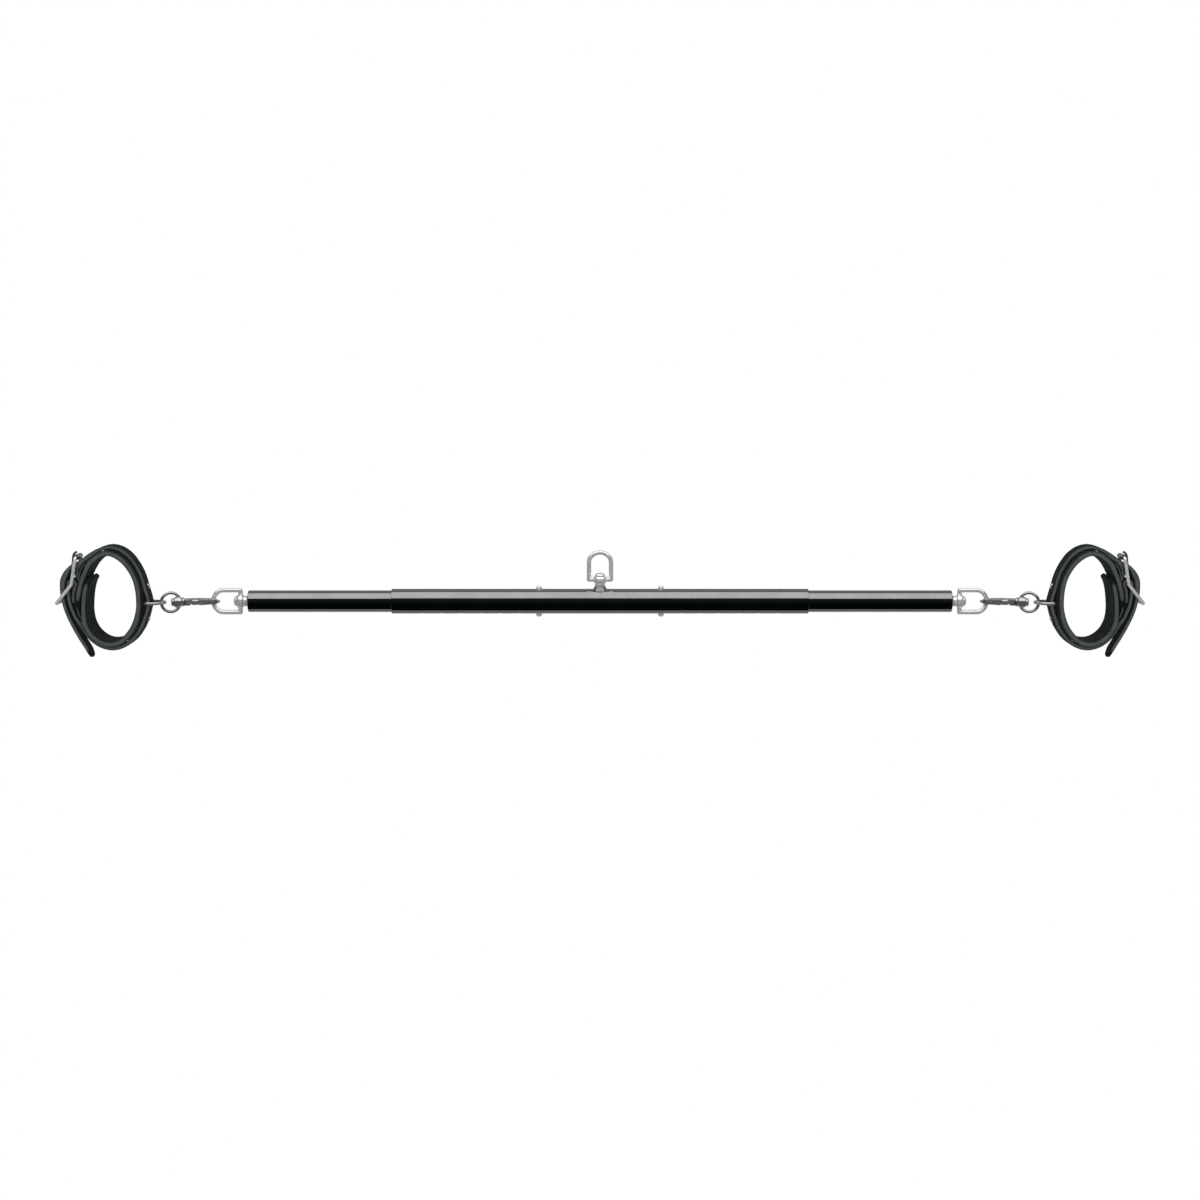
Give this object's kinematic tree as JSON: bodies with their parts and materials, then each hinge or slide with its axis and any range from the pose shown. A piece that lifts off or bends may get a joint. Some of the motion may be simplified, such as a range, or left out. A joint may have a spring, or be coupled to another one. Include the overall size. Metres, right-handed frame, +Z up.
{
  "type": "telescopic spreader bar with cuffs",
  "caption": "Telescopic tube bar with sprung button locks, a central swivel eye, and swivel snap hooks that hold buckled leather cuffs at its ends.",
  "frame": {"origin": "under the middle of the outer tube, on the floor that the bar lies on", "axes": "+X along the bar, +Y the way the central swivel eye points, +Z up from the floor"},
  "size_m": [1.1072, 0.1158, 0.052],
  "materials": {
    "tube": "polished dark nickel",
    "bright_metal": "bright nickel plate",
    "dark_metal": "dark nickel plate",
    "steel": "plain spring steel",
    "plastic": "matt",
    "leather": "soft matt black, rounded edges"
  },
  "bodies": {
    "bar": {"outer_tube": "tube", "centre_saddle": "bright_metal", "centre_stud": "bright_metal"},
    "centre_eye": {"centre_eye": "bright_metal"},
    "inner_left": {"inner_tube_left": "tube", "end_plug_left": "plastic", "end_stud_left": "bright_metal", "spring_clip_left": "steel"},
    "button_upper_left": {"button_upper_left": "bright_metal"},
    "button_lower_left": {"button_lower_left": "bright_metal"},
    "eye_left": {"end_eye_left": "bright_metal"},
    "hook_left": {"snap_hook_left": "dark_metal", "gate_pin_left": "steel", "gate_spring_left": "steel", "swivel_rivet_left": "dark_metal"},
    "gate_left": {"snap_gate_left": "dark_metal"},
    "ring_left": {"swivel_ring_left": "dark_metal"},
    "d_ring_left": {"d_ring_left": "dark_metal"},
    "cuff_left": {"cuff_band_left": "leather", "strap_left": "leather", "strap_rivet_upper_left": "bright_metal", "strap_rivet_lower_left": "bright_metal", "buckle_rivet_left": "bright_metal", "buckle_frame_left": "dark_metal"},
    "roller_left": {"buckle_roller_left": "dark_metal"},
    "prong_left": {"buckle_prong_left": "dark_metal"},
    "inner_right": {"inner_tube_right": "tube", "end_plug_right": "plastic", "end_stud_right": "bright_metal", "spring_clip_right": "steel"},
    "button_upper_right": {"button_upper_right": "bright_metal"},
    "button_lower_right": {"button_lower_right": "bright_metal"},
    "eye_right": {"end_eye_right": "bright_metal"},
    "hook_right": {"snap_hook_right": "dark_metal", "gate_pin_right": "steel", "gate_spring_right": "steel", "swivel_rivet_right": "dark_metal"},
    "gate_right": {"snap_gate_right": "dark_metal"},
    "ring_right": {"swivel_ring_right": "dark_metal"},
    "d_ring_right": {"d_ring_right": "dark_metal"},
    "cuff_right": {"cuff_band_right": "leather", "strap_right": "leather", "strap_rivet_upper_right": "bright_metal", "strap_rivet_lower_right": "bright_metal", "buckle_rivet_right": "bright_metal", "buckle_frame_right": "dark_metal"},
    "roller_right": {"buckle_roller_right": "dark_metal"},
    "prong_right": {"buckle_prong_right": "dark_metal"}
  },
  "joints": [
    {"name": "centre_eye_swivel", "type": "hinge", "parent": "bar", "child": "centre_eye", "pos_m": [0, 0.0196, 0.01264], "axis": [0, 1, 0], "continuous": true},
    {"name": "tube_slide_left", "type": "slide", "parent": "bar", "child": "inner_left", "axis": [-1, 0, 0], "range_m": [0, 0.12]},
    {"name": "button_upper_press_left", "type": "slide", "parent": "inner_left", "child": "button_upper_left", "axis": [0, -1, 0], "range_m": [0, 0.005], "stiffness_N_per_m": 900, "springref_m": -0.002, "deforming": ["spring_clip_left"]},
    {"name": "button_lower_press_left", "type": "slide", "parent": "inner_left", "child": "button_lower_left", "axis": [0, 1, 0], "range_m": [0, 0.005], "stiffness_N_per_m": 900, "springref_m": -0.002, "deforming": ["spring_clip_left"]},
    {"name": "end_eye_swivel_left", "type": "hinge", "parent": "inner_left", "child": "eye_left", "pos_m": [-0.366, 0, 0.01264], "axis": [-1, 0, 0], "continuous": true},
    {"name": "hook_swing_left", "type": "hinge", "parent": "eye_left", "child": "hook_left", "pos_m": [-0.3964, 0, 0.01264], "axis": [0, 1, 0], "range_deg": [-80, 60]},
    {"name": "gate_open_left", "type": "hinge", "parent": "hook_left", "child": "gate_left", "pos_m": [-0.42116, 0, 0.0262], "axis": [0, 1, 0], "range_deg": [0, 30], "stiffness_Nm_per_rad": 0.05, "springref_deg": -14.32},
    {"name": "ring_swivel_left", "type": "hinge", "parent": "hook_left", "child": "ring_left", "pos_m": [-0.43492, 0, 0.0234], "axis": [-0.9631, 0, 0.2691], "continuous": true},
    {"name": "d_ring_swing_left", "type": "hinge", "parent": "ring_left", "child": "d_ring_left", "pos_m": [-0.44764, 0, 0.02695], "axis": [0, 1, 0], "range_deg": [-40, 70]},
    {"name": "cuff_swing_left", "type": "hinge", "parent": "d_ring_left", "child": "cuff_left", "pos_m": [-0.4626, 0, 0.026], "axis": [0, 0, 1], "range_deg": [-45, 45]},
    {"name": "roller_spin_left", "type": "hinge", "parent": "cuff_left", "child": "roller_left", "pos_m": [-0.532, 0.047, 0.026], "axis": [0, 0, 1], "continuous": true},
    {"name": "prong_lift_left", "type": "hinge", "parent": "cuff_left", "child": "prong_left", "pos_m": [-0.5365, 0.0195, 0.026], "axis": [0, 0, 1], "range_deg": [0, 8]},
    {"name": "tube_slide_right", "type": "slide", "parent": "bar", "child": "inner_right", "axis": [1, 0, 0], "range_m": [0, 0.12]},
    {"name": "button_upper_press_right", "type": "slide", "parent": "inner_right", "child": "button_upper_right", "axis": [0, -1, 0], "range_m": [0, 0.005], "stiffness_N_per_m": 900, "springref_m": -0.002, "deforming": ["spring_clip_right"]},
    {"name": "button_lower_press_right", "type": "slide", "parent": "inner_right", "child": "button_lower_right", "axis": [0, 1, 0], "range_m": [0, 0.005], "stiffness_N_per_m": 900, "springref_m": -0.002, "deforming": ["spring_clip_right"]},
    {"name": "end_eye_swivel_right", "type": "hinge", "parent": "inner_right", "child": "eye_right", "pos_m": [0.366, 0, 0.01264], "axis": [1, 0, 0], "continuous": true},
    {"name": "hook_swing_right", "type": "hinge", "parent": "eye_right", "child": "hook_right", "pos_m": [0.3964, 0, 0.01264], "axis": [0, -1, 0], "range_deg": [-80, 60]},
    {"name": "gate_open_right", "type": "hinge", "parent": "hook_right", "child": "gate_right", "pos_m": [0.42116, 0, 0.0262], "axis": [0, -1, 0], "range_deg": [0, 30], "stiffness_Nm_per_rad": 0.05, "springref_deg": -14.32},
    {"name": "ring_swivel_right", "type": "hinge", "parent": "hook_right", "child": "ring_right", "pos_m": [0.43492, 0, 0.0234], "axis": [0.9631, 0, 0.2691], "continuous": true},
    {"name": "d_ring_swing_right", "type": "hinge", "parent": "ring_right", "child": "d_ring_right", "pos_m": [0.44764, 0, 0.02695], "axis": [0, -1, 0], "range_deg": [-40, 70]},
    {"name": "cuff_swing_right", "type": "hinge", "parent": "d_ring_right", "child": "cuff_right", "pos_m": [0.4626, 0, 0.026], "axis": [0, 0, 1], "range_deg": [-45, 45]},
    {"name": "roller_spin_right", "type": "hinge", "parent": "cuff_right", "child": "roller_right", "pos_m": [0.532, 0.047, 0.026], "axis": [0, 0, 1], "continuous": true},
    {"name": "prong_lift_right", "type": "hinge", "parent": "cuff_right", "child": "prong_right", "pos_m": [0.5365, 0.0195, 0.026], "axis": [0, 0, -1], "range_deg": [0, 8]}
  ]
}
